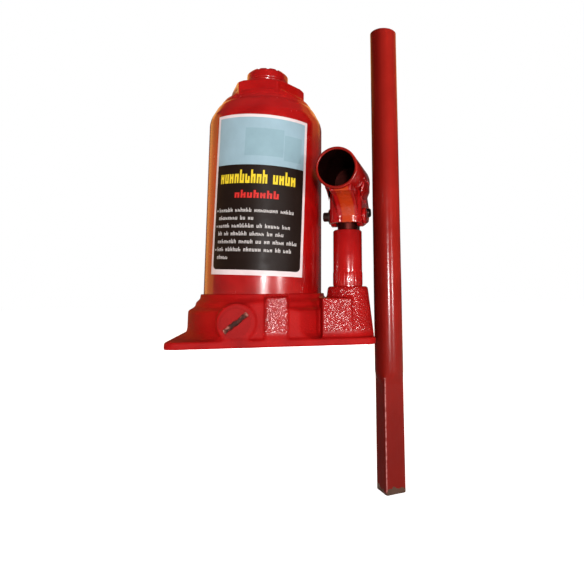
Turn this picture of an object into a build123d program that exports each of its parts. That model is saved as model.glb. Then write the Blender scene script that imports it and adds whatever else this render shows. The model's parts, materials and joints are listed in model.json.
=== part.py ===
from build123d import *
import os
from math import cos, radians, sin

# Bottle jack with its loose handle bar, in millimetres.
# +Z is the ram's axis, the origin is the centre of the base's underside, the label faces -Y
# and the pump stands at +X. Everything is drawn with the ram and the screw fully down.

# ---- driving dimensions -------------------------------------------------------------------
fit = 0.05                      # radial clearance of a running fit
seat_gap = 0.3                  # gap between bodies that pass each other
end_chamfer = 0.8

# base casting
foot_left, foot_right = -43.0, 53.0
foot_half_depth = 35.0
foot_corner = 5.0
foot_thickness = 3.5
body_half_depth = 33.5
drum_radius = 37.2
drum_shoulder = 16.0
step_radius = 33.7
step_top = 19.8
rim_radius = 31.5
rim_top = 24.0
floor_height = 20.0             # floor of the oil reservoir

# reservoir tube
tank_radius = 30.0
tank_wall = 1.8
gasket = 1.0
shoulder_start = 114.3
shoulder_top = 124.6
shoulder_radius = 24.2
shoulder_lip = 0.9
shoulder_knee, shoulder_knee_radius = 121.3, 26.3
shoulder_bend = 6.0
mouth_radius = 19.2

# pressure cylinder and ram
cylinder_radius = 15.5
cylinder_bore = 12.0
cylinder_foot = 9.0
cylinder_top = 122.0
ram_radius = 11.25
ram_bore = 8.1
ram_foot = 14.0
ram_shoulder = 24.0
ram_spigot = 6.0
ram_top = 135.3
screw_radius = 8.0
screw_root = 7.2
screw_pitch = 3.0
screw_foot = 30.0
saddle_radius = 11.3
saddle_foot = ram_top + seat_gap
saddle_top = 144.8
saddle_peg = 5.0
saddle_peg_height = 5.0

# top nut
nut_flats = 36.0
nut_foot = shoulder_top + gasket
nut_top = 134.5
nut_turn = 44.0                 # degrees
nut_crown, nut_crown_rise = 1.2, 1.4
nut_collar_radius = 20.2
nut_collar_top = 128.6
nut_skirt_foot = 114.0
wiper_foot, wiper_top = 130.0, 133.0

# pump
pump_x, pump_y = 41.3, -20.0
boss_radius, boss_top_radius = 13.2, 10.0
boss_top = 27.3
bridge_top = 21.7
bridge_left = 27.0
bridge_half_depth = 20.0
bridge_middle = -13.0
pump_radius = 7.25
pump_foot = 8.0
pump_top = 55.3
plunger_radius = 5.0
plunger_foot = 14.0
packing_foot, packing_top = 47.0, 52.0
knurl_foot, knurl_top = 27.6, 34.2

# handle socket and its linkage, drawn in the lever's own frame: X forwards, Z up
lever_azimuth = 21.0            # degrees from -Y towards -X
pin_height = 62.5
pin_radius = 2.4
link_back = 15.5                # fulcrum pin behind the plunger pin
link_height = 66.4
link_width = 6.0
lug_height = 22.0
lug_pin_radius = 2.5
open_pivot_gap = 0.9            # the linkage is opened at the fulcrum pin
ear_gap = 10.6
bracket_width = 16.4
socket_height = 81.9
socket_radius = 10.1
socket_bore = 8.8
socket_back, socket_front = -12.0, 26.0
socket_end_wall = 2.0

# release valve
valve_x, valve_height = -12.0, 11.2
valve_radius = 5.0
valve_seat = 20.0
valve_head_radius = 6.6
valve_boss_radius = 8.8
valve_slot_angle = 38.0

# handle bar
bar_x, bar_y = 63.0, -15.0
bar_radius = 7.25
bar_wall = 1.6
bar_length = 238.5
bar_foot = -71.5                # the bar hangs below the foot, beside the base
bar_square = 11.0
bar_square_length = 50.0
bar_neck = 7.0
bar_turn = 14.0                 # degrees


# ---- helpers ------------------------------------------------------------------------------
def half_section(*points):
    """A closed outline of (radius, height) points, to be revolved about Z."""
    with BuildSketch(Plane.XZ) as section:
        with BuildLine():
            Polyline(*points, close=True)
        make_face()
    return section.sketch


def ring(inner, outer, low, high):
    """The section of a plain ring between two heights."""
    return half_section((inner, low), (outer, low), (outer, high), (inner, high))


def finish(builder, label):
    """Label a sub-part and write it to its own STEP file."""
    builder.part.label = label
    export_step(builder.part, f"parts/{label}.step")


os.makedirs("parts", exist_ok=True)

lever_forward = Vector(-sin(radians(lever_azimuth)), -cos(radians(lever_azimuth)), 0)
lever_side = Vector(cos(radians(lever_azimuth)), -sin(radians(lever_azimuth)), 0)
lever_floor = Plane(origin=(pump_x, pump_y, 0), x_dir=lever_forward, z_dir=(0, 0, 1))
lever_profile = Plane(origin=(pump_x, pump_y, 0), x_dir=lever_forward, z_dir=-lever_side)
socket_mouth = Plane(
    origin=Vector(pump_x, pump_y, socket_height) + lever_forward * socket_front,
    x_dir=lever_side,
    z_dir=lever_forward,
)
valve_plane = Plane(origin=(valve_x, 0, valve_height), x_dir=(1, 0, 0), z_dir=(0, -1, 0))
pump_plane = Plane(origin=(pump_x, pump_y, 0))
pump_axis = Axis((pump_x, pump_y, 0), (0, 0, 1))


def pump_ring(inner, outer, low, high):
    """The section of a plain ring about the pump's axis."""
    with BuildSketch(Plane(origin=(pump_x, pump_y, 0), x_dir=(1, 0, 0), z_dir=(0, -1, 0))) as section:
        with Locations(((inner + outer) / 2, (low + high) / 2)):
            Rectangle(outer - inner, high - low)
    return section.sketch


# ---- base casting -------------------------------------------------------------------------
flare_radius = 4.2
strainer_x = 22.0
lug_top_reach = 5.0
boss_edge = 1.2
passage_radius = 2.0
passage_height = 11.5
pump_pocket = pump_radius + fit
overload_x, overload_height = 8.0, 11.5
overload_radius = 3.5
overload_depth = 14.0
rib_left, rib_right, rib_top = 1.0, 11.0, 22.4
rib_half_depth, rib_proud = 6.0, -1.0
lug_length, lug_wall = 12.0, 3.2
lug_slot = link_width + 0.6
lug_slot_floor = 15.5
lug_slot_length = 16.0
lug_slot_reach = 5.3            # from the lug pin towards the pump

with BuildPart() as base_casting:
    with BuildSketch(Plane.XZ):
        with BuildLine():
            Polyline(
                (0, 0),
                (drum_radius + flare_radius, 0),
                (drum_radius + flare_radius, foot_thickness),
            )
            RadiusArc(
                (drum_radius + flare_radius, foot_thickness),
                (drum_radius, foot_thickness + flare_radius),
                flare_radius,
            )
            Polyline(
                (drum_radius, foot_thickness + flare_radius),
                (drum_radius, drum_shoulder),
                (step_radius, drum_shoulder + 2),
                (step_radius, step_top),
                (rim_radius, step_top + 2),
                (rim_radius, rim_top),
                (0, rim_top),
                (0, 0),
            )
        make_face()
    revolve(axis=Axis.Z)
    with BuildSketch():
        Rectangle(2 * (drum_radius + flare_radius), 2 * body_half_depth)
    extrude(amount=rim_top, mode=Mode.INTERSECT)
    # foot plate
    with BuildSketch():
        with Locations(((foot_left + foot_right) / 2, 0)):
            RectangleRounded(foot_right - foot_left, 2 * foot_half_depth, foot_corner)
    extrude(amount=foot_thickness)
    # pump boss and the bridge that joins it to the drum
    with BuildSketch(pump_plane):
        Circle(boss_radius)
    with BuildSketch(pump_plane.offset(boss_top)):
        Circle(boss_top_radius)
    loft()
    fillet(base_casting.edges().group_by(Axis.Z)[-1], radius=boss_edge)
    with BuildSketch():
        with Locations(((bridge_left + pump_x) / 2, bridge_middle)):
            Rectangle(pump_x - bridge_left, 2 * bridge_half_depth)
    extrude(amount=bridge_top)
    # fulcrum lug behind the pump
    with BuildSketch(lever_floor):
        with Locations((-link_back - 1, 0)):
            Rectangle(lug_length, lug_slot + 2 * lug_wall)
    extrude(amount=lug_height + lug_top_reach)
    # rib and valve boss on the front
    with BuildSketch():
        with Locations(((rib_left + rib_right) / 2, rib_proud - body_half_depth + rib_half_depth)):
            Rectangle(rib_right - rib_left, 2 * rib_half_depth)
    extrude(amount=rib_top)
    with BuildSketch(valve_plane.offset(body_half_depth - 8)):
        Circle(valve_boss_radius)
    extrude(amount=9)
    # seats for the tank, the pressure cylinder and the pump
    revolve(ring(0, tank_radius + fit, floor_height, 2 * rim_top), axis=Axis.Z, mode=Mode.SUBTRACT)
    revolve(
        ring(0, cylinder_radius + fit, cylinder_foot - gasket, 2 * rim_top),
        axis=Axis.Z,
        mode=Mode.SUBTRACT,
    )
    with BuildSketch(pump_plane.offset(pump_foot - gasket)):
        Circle(pump_pocket)
    extrude(amount=2 * rim_top, mode=Mode.SUBTRACT)
    # slot and pin hole of the fulcrum lug
    with BuildSketch(lever_floor.offset(lug_slot_floor)):
        with Locations((-link_back - lug_slot_length / 2 + lug_slot_reach, 0)):
            Rectangle(lug_slot_length, lug_slot)
    extrude(amount=2 * rim_top, mode=Mode.SUBTRACT)
    with BuildSketch(lever_profile):
        with Locations((-link_back, lug_height)):
            Circle(lug_pin_radius)
    extrude(amount=lug_length, both=True, mode=Mode.SUBTRACT)
    # oil passage from the pump to the pressure cylinder
    with BuildSketch(
        Plane(
            origin=(pump_x, pump_y, passage_height),
            x_dir=(0, 0, 1),
            z_dir=(-pump_x, -pump_y, 0),
        )
    ):
        Circle(passage_radius)
    extrude(amount=40, mode=Mode.SUBTRACT)
    # bores of the release valve and of the overload valve
    with BuildSketch(valve_plane.offset(valve_seat)):
        Circle(valve_radius + fit)
    extrude(amount=tank_radius, mode=Mode.SUBTRACT)
    with BuildSketch(valve_plane):
        Circle(passage_radius)
    extrude(amount=tank_radius, mode=Mode.SUBTRACT)
    with BuildSketch(Plane(origin=(overload_x, 0, overload_height), x_dir=(1, 0, 0), z_dir=(0, 1, 0))):
        Circle(passage_radius / 2)
    extrude(amount=40, mode=Mode.SUBTRACT)
    with BuildSketch(
        Plane(
            origin=(overload_x, body_half_depth - overload_depth, overload_height),
            x_dir=(1, 0, 0),
            z_dir=(0, 1, 0),
        )
    ):
        Circle(overload_radius)
    extrude(amount=overload_depth + 5, mode=Mode.SUBTRACT)
    # suction hole below the strainer
    with BuildSketch(Plane.XY.offset(passage_height)):
        with Locations((strainer_x, 0)):
            Circle(passage_radius)
    extrude(amount=rim_top, mode=Mode.SUBTRACT)
finish(base_casting, "base_casting")

# ---- reservoir ----------------------------------------------------------------------------
plug_height = 98.0
plug_radius = 4.0
inner_radius = tank_radius - tank_wall

with BuildPart() as reservoir_tube:
    with BuildSketch(Plane.XZ):
        with BuildLine():
            Polyline(
                (tank_radius, floor_height + gasket),
                (tank_radius, shoulder_start),
                (shoulder_knee_radius, shoulder_knee),
                (shoulder_radius + shoulder_lip / 2, shoulder_top - 2 * shoulder_lip),
                (shoulder_radius, shoulder_top),
                (mouth_radius, shoulder_top),
                (mouth_radius, shoulder_top - tank_wall),
                (inner_radius, shoulder_start - 1),
                (inner_radius, floor_height + gasket),
                close=True,
            )
        make_face()
    revolve(axis=Axis.Z)
    outer_rings = reservoir_tube.edges().filter_by(GeomType.CIRCLE).filter_by(
        lambda e: abs(e.radius - tank_radius) < fit
    )
    fillet(outer_rings.sort_by(Axis.Z)[-1], radius=shoulder_bend)
    with BuildSketch(Plane(origin=(0, 0, plug_height), x_dir=(1, 0, 0), z_dir=(0, 1, 0))):
        Circle(plug_radius + fit)
    extrude(amount=2 * tank_radius, mode=Mode.SUBTRACT)
finish(reservoir_tube, "reservoir_tube")

label_left, label_right = -57.0, 41.0       # degrees about Z from the front
label_foot, label_top = 31.5, 112.0
label_thickness = 0.2
label_gap = 0.02

with BuildPart() as reservoir_label:
    label_middle = radians((label_left + label_right) / 2)
    label_half_width = tank_radius * sin(radians((label_right - label_left) / 2))
    label_inside = tank_radius + label_gap
    revolve(ring(label_inside, label_inside + label_thickness, label_foot, label_top), axis=Axis.Z)
    label_plane = Plane(
        origin=(0, 0, (label_foot + label_top) / 2),
        x_dir=(cos(label_middle), sin(label_middle), 0),
        z_dir=(sin(label_middle), -cos(label_middle), 0),
    )
    with BuildSketch(label_plane):
        Rectangle(2 * label_half_width, label_top - label_foot)
    extrude(amount=2 * tank_radius, mode=Mode.INTERSECT)
finish(reservoir_label, "reservoir_label")

with BuildPart() as tank_base_gasket:
    revolve(ring(inner_radius - 1, tank_radius - fit, floor_height, floor_height + gasket), axis=Axis.Z)
finish(tank_base_gasket, "tank_base_gasket")

with BuildPart() as tank_top_gasket:
    revolve(ring(mouth_radius + 0.2, shoulder_radius - 1, shoulder_top, nut_foot), axis=Axis.Z)
finish(tank_top_gasket, "tank_top_gasket")

with BuildPart() as fill_plug:
    with BuildSketch(Plane(origin=(0, inner_radius - 2, plug_height), x_dir=(1, 0, 0), z_dir=(0, 1, 0))):
        Circle(plug_radius)
    extrude(amount=tank_wall + 2.4)
    with BuildSketch(
        Plane(origin=(0, tank_radius + seat_gap, plug_height), x_dir=(1, 0, 0), z_dir=(0, 1, 0))
    ):
        Circle(plug_radius + 2.5)
    extrude(amount=2.6)
    fillet(fill_plug.edges().group_by(Axis.Y)[-1], radius=1.1)
finish(fill_plug, "fill_plug")

# ---- pressure cylinder and top nut --------------------------------------------------------
with BuildPart() as pressure_cylinder:
    revolve(ring(cylinder_bore, cylinder_radius, cylinder_foot, cylinder_top), axis=Axis.Z)
    chamfer(pressure_cylinder.edges().filter_by(GeomType.CIRCLE), length=0.6)
finish(pressure_cylinder, "pressure_cylinder")

with BuildPart() as cylinder_base_washer:
    revolve(
        ring(cylinder_bore, cylinder_radius, cylinder_foot - gasket, cylinder_foot),
        axis=Axis.Z,
    )
finish(cylinder_base_washer, "cylinder_base_washer")

with BuildPart() as top_nut:
    with BuildSketch(Plane.XY.offset(nut_foot)):
        RegularPolygon(radius=nut_flats / 2, side_count=6, major_radius=False, rotation=nut_turn)
    extrude(amount=nut_top - nut_foot)
    corner = nut_flats / 2 + 3      # beyond the hexagon's corners
    revolve(
        half_section(
            (0, nut_foot),
            (corner, nut_foot),
            (corner, nut_top - nut_crown_rise),
            (nut_flats / 2 + nut_crown, nut_top),
            (0, nut_top),
        ),
        axis=Axis.Z,
        mode=Mode.INTERSECT,
    )
    revolve(ring(0, nut_collar_radius, nut_foot, nut_collar_top), axis=Axis.Z)
    revolve(ring(0, mouth_radius - 0.4, nut_skirt_foot, nut_foot), axis=Axis.Z)
    revolve(
        ring(0, cylinder_radius + fit, nut_skirt_foot, cylinder_top + 0.5),
        axis=Axis.Z,
        mode=Mode.SUBTRACT,
    )
    revolve(ring(0, ram_radius + fit, nut_skirt_foot, nut_top + 1), axis=Axis.Z, mode=Mode.SUBTRACT)
    revolve(ring(0, ram_radius + 2.5, wiper_foot, wiper_top), axis=Axis.Z, mode=Mode.SUBTRACT)
finish(top_nut, "top_nut")

with BuildPart() as ram_wiper_seal:
    revolve(ring(ram_radius + fit, ram_radius + 2.5, wiper_foot, wiper_top), axis=Axis.Z)
finish(ram_wiper_seal, "ram_wiper_seal")

# ---- ram, extension screw and saddle ------------------------------------------------------
with BuildPart() as ram:
    revolve(ring(0, ram_radius, ram_shoulder, ram_top), axis=Axis.Z)
    revolve(ring(0, ram_spigot, ram_foot, ram_shoulder), axis=Axis.Z)
    revolve(ring(0, ram_bore, ram_shoulder + 4, ram_top + 1), axis=Axis.Z, mode=Mode.SUBTRACT)
    chamfer(ram.edges().group_by(Axis.Z)[-1], length=end_chamfer)
finish(ram, "ram")

with BuildPart() as piston_cup_seal:
    revolve(
        half_section(
            (ram_spigot, ram_foot + 2),
            (cylinder_bore - 2, ram_foot + 2),
            (cylinder_bore - 1.2, ram_foot + 0.4),
            (cylinder_bore - fit, ram_foot + 1),
            (cylinder_bore - fit, ram_shoulder - 2),
            (ram_spigot, ram_shoulder - 2),
        ),
        axis=Axis.Z,
    )
finish(piston_cup_seal, "piston_cup_seal")

with BuildPart() as piston_backup_washer:
    revolve(ring(ram_spigot, cylinder_bore - 2 * fit, ram_shoulder - 2, ram_shoulder), axis=Axis.Z)
finish(piston_backup_washer, "piston_backup_washer")

with BuildPart() as piston_retainer:
    revolve(ring(ram_spigot, ram_spigot + 2.5, ram_foot + 0.4, ram_foot + 2), axis=Axis.Z)
finish(piston_retainer, "piston_retainer")

with BuildPart() as extension_screw:
    revolve(ring(0, screw_root, screw_foot, saddle_foot - seat_gap), axis=Axis.Z)
    thread_count = int((saddle_foot - 8 - screw_foot) / screw_pitch)
    for turn in range(thread_count):
        crest = screw_foot + (turn + 0.5) * screw_pitch
        revolve(
            half_section(
                (screw_root - 0.5, crest - 1.1),
                (screw_root, crest - 1.1),
                (screw_radius, crest - 0.5),
                (screw_radius, crest + 0.5),
                (screw_root, crest + 1.1),
                (screw_root - 0.5, crest + 1.1),
            ),
            axis=Axis.Z,
        )
    revolve(ring(0, saddle_peg, screw_foot + 2, saddle_foot + saddle_peg_height), axis=Axis.Z)
finish(extension_screw, "extension_screw")

saddle_neck, saddle_step, saddle_chamfer = 3.0, 0.7, 1.8
saddle_groove_depth, saddle_groove_width, saddle_groove_length = 0.9, 1.3, 7.0

with BuildPart() as saddle:
    revolve(
        half_section(
            (0, saddle_foot),
            (saddle_radius - saddle_step, saddle_foot),
            (saddle_radius - saddle_step, saddle_foot + saddle_neck),
            (saddle_radius, saddle_foot + saddle_neck + saddle_step),
            (saddle_radius, saddle_top - saddle_chamfer),
            (saddle_radius - saddle_chamfer, saddle_top),
            (0, saddle_top),
        ),
        axis=Axis.Z,
    )
    revolve(
        ring(0, saddle_peg + fit, saddle_foot - 1, saddle_foot + saddle_peg_height + 0.2),
        axis=Axis.Z,
        mode=Mode.SUBTRACT,
    )
    # gripping grooves across the top, clear of its centre
    with BuildSketch(Plane.XY.offset(saddle_top - saddle_groove_depth)):
        with PolarLocations(saddle_radius - 2, 12):
            Rectangle(saddle_groove_length, saddle_groove_width)
    extrude(amount=2 * saddle_groove_depth, mode=Mode.SUBTRACT)
finish(saddle, "saddle")

# ---- pump ---------------------------------------------------------------------------------
with BuildPart() as pump_cylinder:
    revolve(pump_ring(plunger_radius + fit, pump_radius, pump_foot, pump_top), axis=pump_axis)
    chamfer(pump_cylinder.edges().group_by(Axis.Z)[-1].sort_by(SortBy.RADIUS)[-1], length=end_chamfer)
    with BuildSketch(pump_plane.offset(knurl_foot)):
        RegularPolygon(radius=pump_radius + 0.35, side_count=18)
        Circle(plunger_radius + 1, mode=Mode.SUBTRACT)
    extrude(amount=knurl_top - knurl_foot)
    revolve(
        pump_ring(plunger_radius, plunger_radius + 1.2, packing_foot, packing_top),
        axis=pump_axis,
        mode=Mode.SUBTRACT,
    )
finish(pump_cylinder, "pump_cylinder")

with BuildPart() as pump_base_washer:
    revolve(pump_ring(plunger_radius - 1, pump_radius, pump_foot - gasket, pump_foot), axis=pump_axis)
finish(pump_base_washer, "pump_base_washer")

with BuildPart() as pump_packing:
    revolve(
        pump_ring(plunger_radius + fit, plunger_radius + 1.2, packing_foot, packing_top),
        axis=pump_axis,
    )
finish(pump_packing, "pump_packing")

with BuildPart() as pump_plunger:
    with BuildSketch(pump_plane.offset(plunger_foot)):
        Circle(plunger_radius)
    extrude(amount=pin_height + plunger_radius - plunger_foot)
    # its top is an eye, round about the pin, so that the bracket clears it as it swings
    with BuildSketch(lever_profile):
        with Locations((0, pin_height)):
            Circle(plunger_radius)
        with Locations((0, (plunger_foot + pin_height) / 2)):
            Rectangle(2 * plunger_radius, pin_height - plunger_foot)
    extrude(amount=2 * plunger_radius, both=True, mode=Mode.INTERSECT)
    chamfer(pump_plunger.edges().group_by(Axis.Z)[0], length=end_chamfer)
    with BuildSketch(lever_profile):
        with Locations((0, pin_height)):
            Circle(pin_radius + fit)
    extrude(amount=2 * plunger_radius, both=True, mode=Mode.SUBTRACT)
finish(pump_plunger, "pump_plunger")

# ---- handle socket ------------------------------------------------------------------------
socket_length = socket_front - socket_back
ear_radius = 5.5
web_back, web_front = 5.4, 8.6
web_foot = 58.4
bend_radius = 4.6
bracket_top = 77.4
bracket_head = 17.0             # length of the bracket along the socket
bracket_head_height = 6.0
tongue_left, tongue_right = -3.6, 7.0
tongue_foot = 62.0
tongue_bend, tongue_bend_height = 14.0, 67.4
tongue_reach, tongue_lip = 25.4, 70.9
socket_seat = 0.01              # the socket lies this far off the bracket

with BuildPart() as clevis_bracket:
    with BuildSketch(lever_profile):
        with Locations((0, pin_height)):
            Circle(ear_radius)
        with Locations((-link_back, link_height)):
            Circle(ear_radius)
        with Locations(((web_front - bracket_head) / 2, bracket_top - bracket_head_height / 2)):
            Rectangle(bracket_head, bracket_head_height)
        make_hull()
    extrude(amount=bracket_width / 2, both=True)
    with BuildSketch(lever_floor.offset(web_foot)):
        with Locations((web_front / 2, 0)):
            Rectangle(web_front, bracket_width)
    extrude(amount=bracket_top - web_foot)
    front_bends = clevis_bracket.edges().filter_by(Axis.Z).filter_by(
        lambda e: (e.center() - Vector(pump_x, pump_y, 0)).dot(lever_forward) > web_back
    )
    fillet(front_bends, radius=bend_radius)
    with BuildSketch(lever_floor.offset(pin_height - 3 * ear_radius)):
        with Locations((web_back - link_back, 0)):
            Rectangle(2 * link_back, ear_gap)
    extrude(amount=5 * ear_radius, mode=Mode.SUBTRACT)
    # tongue that carries the front up to the socket's mouth
    with BuildSketch(lever_profile.offset(-tongue_right)):
        with BuildLine():
            Polyline(
                (web_front, tongue_foot),
                (web_back, tongue_foot),
                (web_back, bracket_top),
                (tongue_reach, bracket_top),
                (tongue_reach, tongue_lip),
            )
            ThreePointArc(
                (tongue_reach, tongue_lip),
                (tongue_bend, tongue_bend_height),
                (web_front, tongue_foot),
            )
        make_face()
    extrude(amount=tongue_right - tongue_left)
    with BuildSketch(lever_profile):
        with Locations((0, pin_height)):
            Circle(pin_radius)
        with Locations((-link_back, link_height)):
            Circle(pin_radius + open_pivot_gap)
    extrude(amount=bracket_width, both=True, mode=Mode.SUBTRACT)
    with BuildSketch(socket_mouth):
        Circle(socket_radius + socket_seat)
    extrude(amount=-2 * socket_length, mode=Mode.SUBTRACT)
finish(clevis_bracket, "clevis_bracket")

with BuildPart() as socket_tube:
    with BuildSketch(socket_mouth):
        Circle(socket_radius)
    extrude(amount=-socket_length)
    # closed at the back, so that the bar comes to a stop
    with BuildSketch(socket_mouth):
        Circle(socket_bore)
    extrude(amount=socket_end_wall - socket_length, mode=Mode.SUBTRACT)
    chamfer(socket_tube.edges().filter_by(GeomType.CIRCLE).sort_by(SortBy.RADIUS)[-2:], length=0.4)
finish(socket_tube, "socket_tube")

weld_foot, weld_side = 68.8, 76.5
weld_back, weld_front = -11.0, 7.5
weld_hollow = 0.45
with BuildPart() as socket_weld:
    weld_start = Vector(pump_x, pump_y, 0) + lever_forward * weld_back
    with BuildSketch(Plane(origin=weld_start, x_dir=lever_side, z_dir=lever_forward)):
        with BuildLine():
            Polyline(
                (bracket_width / 2, weld_foot),
                (bracket_width / 2, socket_height),
                (socket_radius, socket_height),
                (socket_radius, weld_side),
            )
            ThreePointArc(
                (socket_radius, weld_side),
                (bracket_width / 2 + weld_hollow, (weld_foot + weld_side) / 2),
                (bracket_width / 2, weld_foot),
            )
        make_face()
        with Locations((0, socket_height)):
            Circle(socket_radius, mode=Mode.SUBTRACT)
        mirror(about=Plane.YZ)
    extrude(amount=weld_front - weld_back)
finish(socket_weld, "socket_weld")

pin_head_radius, pin_head = 4.2, 1.6
pin_end = 4.2                   # how far the pin stands out on the left
with BuildPart() as plunger_pin:
    with BuildSketch(lever_profile.offset(-bracket_width / 2)):
        with Locations((0, pin_height)):
            Circle(pin_head_radius)
    extrude(amount=-pin_head)
    with BuildSketch(lever_profile.offset(-bracket_width / 2)):
        with Locations((0, pin_height)):
            Circle(pin_radius)
    extrude(amount=bracket_width + pin_end)
    pin_circles = plunger_pin.edges().filter_by(GeomType.CIRCLE).sort_by(Axis.X)
    chamfer([pin_circles[0], pin_circles[-1]], length=0.5)
finish(plunger_pin, "plunger_pin")

clip_thickness = 1.0
with BuildPart() as pin_clip:
    with BuildSketch(lever_profile.offset(bracket_width / 2)):
        with Locations((0, pin_height)):
            Circle(pin_radius + 1.5)
            Circle(pin_radius, mode=Mode.SUBTRACT)
    extrude(amount=clip_thickness)
finish(pin_clip, "pin_clip")

# ---- fulcrum link -------------------------------------------------------------------------
link_eye = 4.8
with BuildPart() as fulcrum_link:
    with BuildSketch(lever_profile):
        with Locations((-link_back, link_height), (-link_back, lug_height)):
            Circle(link_eye)
        with Locations((-link_back, (link_height + lug_height) / 2)):
            Rectangle(1.5 * link_eye, link_height - lug_height)
        with Locations((-link_back, link_height)):
            Circle(pin_radius, mode=Mode.SUBTRACT)
        with Locations((-link_back, lug_height)):
            Circle(lug_pin_radius + fit, mode=Mode.SUBTRACT)
    extrude(amount=link_width / 2, both=True)
finish(fulcrum_link, "fulcrum_link")

with BuildPart() as link_top_pin:
    with BuildSketch(lever_profile):
        with Locations((-link_back, link_height)):
            Circle(pin_radius)
    extrude(amount=bracket_width / 2 + 1.5, both=True)
    chamfer(link_top_pin.edges().filter_by(GeomType.CIRCLE), length=0.5)
finish(link_top_pin, "link_top_pin")

with BuildPart() as fulcrum_lug_pin:
    with BuildSketch(lever_profile):
        with Locations((-link_back, lug_height)):
            Circle(lug_pin_radius)
    extrude(amount=lug_slot / 2 + lug_wall + end_chamfer, both=True)
    chamfer(fulcrum_lug_pin.edges().filter_by(GeomType.CIRCLE), length=0.4)
finish(fulcrum_lug_pin, "fulcrum_lug_pin")

# ---- valves in the base -------------------------------------------------------------------
valve_face = body_half_depth + 1.0
valve_tip = 21.0
slot_depth, slot_width = 1.6, 2.2
head_thickness = 2.6
oring_place = valve_face - 5
oring_width = 1.4
oring_groove = 3.6

with BuildPart() as release_valve:
    with BuildSketch(valve_plane.offset(valve_tip)):
        Circle(valve_radius)
    extrude(amount=valve_face - valve_tip + seat_gap)
    with BuildSketch(valve_plane.offset(valve_face + seat_gap)):
        Circle(valve_head_radius)
    extrude(amount=head_thickness)
    chamfer(release_valve.edges().group_by(Axis.Y)[0], length=0.7)
    with BuildSketch(valve_plane.offset(valve_face + seat_gap + head_thickness - slot_depth)):
        Rectangle(3 * valve_head_radius, slot_width, rotation=valve_slot_angle)
    extrude(amount=2 * slot_depth, mode=Mode.SUBTRACT)
    with BuildSketch(valve_plane.offset(oring_place)):
        Circle(valve_radius + 1)
        Circle(oring_groove, mode=Mode.SUBTRACT)
    extrude(amount=oring_width, mode=Mode.SUBTRACT)
    chamfer(release_valve.edges().group_by(Axis.Y)[-1], length=1.5)
finish(release_valve, "release_valve")

with BuildPart() as release_oring:
    with BuildSketch(valve_plane.offset(oring_place)):
        Circle(valve_radius)
        Circle(oring_groove, mode=Mode.SUBTRACT)
    extrude(amount=oring_width)
finish(release_oring, "release_oring")

ball_radius = 1.9
ball_gap = 0.2
with BuildPart() as release_ball:
    with Locations((valve_x, ball_gap + ball_radius - valve_tip, valve_height)):
        Sphere(ball_radius)
finish(release_ball, "release_ball")

delivery_reach = 12.0
passage_direction = Vector(-pump_x, -pump_y, 0).normalized()
delivery_point = Vector(pump_x, pump_y, passage_height) + passage_direction * delivery_reach
with BuildPart() as delivery_ball:
    with Locations(delivery_point):
        Sphere(ball_radius)
finish(delivery_ball, "delivery_ball")

spring_wire = 0.35
spring_pitch = 1.5
delivery_coil, delivery_length = 1.4, 7.5
overload_coil, overload_length = 2.2, 4.5
with BuildPart() as delivery_spring:
    spring_plane = Plane(
        origin=delivery_point + passage_direction * (ball_radius + 0.5),
        x_dir=(0, 0, 1),
        z_dir=passage_direction,
    )
    coil = spring_plane.from_local_coords(
        Helix(pitch=spring_pitch, height=delivery_length, radius=delivery_coil)
    )
    with BuildSketch(Plane(origin=coil @ 0, z_dir=coil % 0)):
        Circle(spring_wire)
    sweep(path=coil, is_frenet=True)
finish(delivery_spring, "delivery_spring")

suction_drop = 1.2
with BuildPart() as suction_ball:
    with Locations((pump_x, pump_y, passage_height - suction_drop)):
        Sphere(ball_radius)
finish(suction_ball, "suction_ball")

strainer_radius, strainer_thickness = 4.0, 1.2
mesh_pitch, mesh_hole = 1.7, 0.5
with BuildPart() as suction_strainer:
    with BuildSketch(Plane.XY.offset(floor_height)):
        with Locations((strainer_x, 0)):
            Circle(strainer_radius)
    extrude(amount=strainer_thickness)
    with BuildSketch(Plane.XY.offset(floor_height)):
        with Locations((strainer_x, 0)):
            with GridLocations(mesh_pitch, mesh_pitch, 3, 3):
                Circle(mesh_hole)
    extrude(amount=2 * strainer_thickness, mode=Mode.SUBTRACT)
finish(suction_strainer, "suction_strainer")

overload_back = body_half_depth - overload_depth
overload_plane = Plane(origin=(overload_x, 0, overload_height), x_dir=(1, 0, 0), z_dir=(0, 1, 0))
with BuildPart() as overload_ball:
    with Locations((overload_x, overload_back + ball_radius, overload_height)):
        Sphere(ball_radius)
finish(overload_ball, "overload_ball")

with BuildPart() as overload_spring:
    spring_foot = overload_plane.offset(overload_back + 2 * ball_radius + 0.5)
    coil = spring_foot.from_local_coords(
        Helix(pitch=spring_pitch, height=overload_length, radius=overload_coil)
    )
    with BuildSketch(Plane(origin=coil @ 0, z_dir=coil % 0)):
        Circle(spring_wire)
    sweep(path=coil, is_frenet=True)
finish(overload_spring, "overload_spring")

with BuildPart() as overload_plug:
    with BuildSketch(overload_plane.offset(body_half_depth - 4)):
        Circle(overload_radius - fit)
    extrude(amount=4)
    with BuildSketch(overload_plane.offset(body_half_depth - 2)):
        Rectangle(2 * overload_radius, 1.0)
    extrude(amount=3, mode=Mode.SUBTRACT)
finish(overload_plug, "overload_plug")

# ---- handle bar ---------------------------------------------------------------------------
bar_top = bar_foot + bar_length
square_top = bar_foot + bar_square_length
bar_plane = Plane(origin=(bar_x, bar_y, 0))
bar_corner = 1.2

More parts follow.
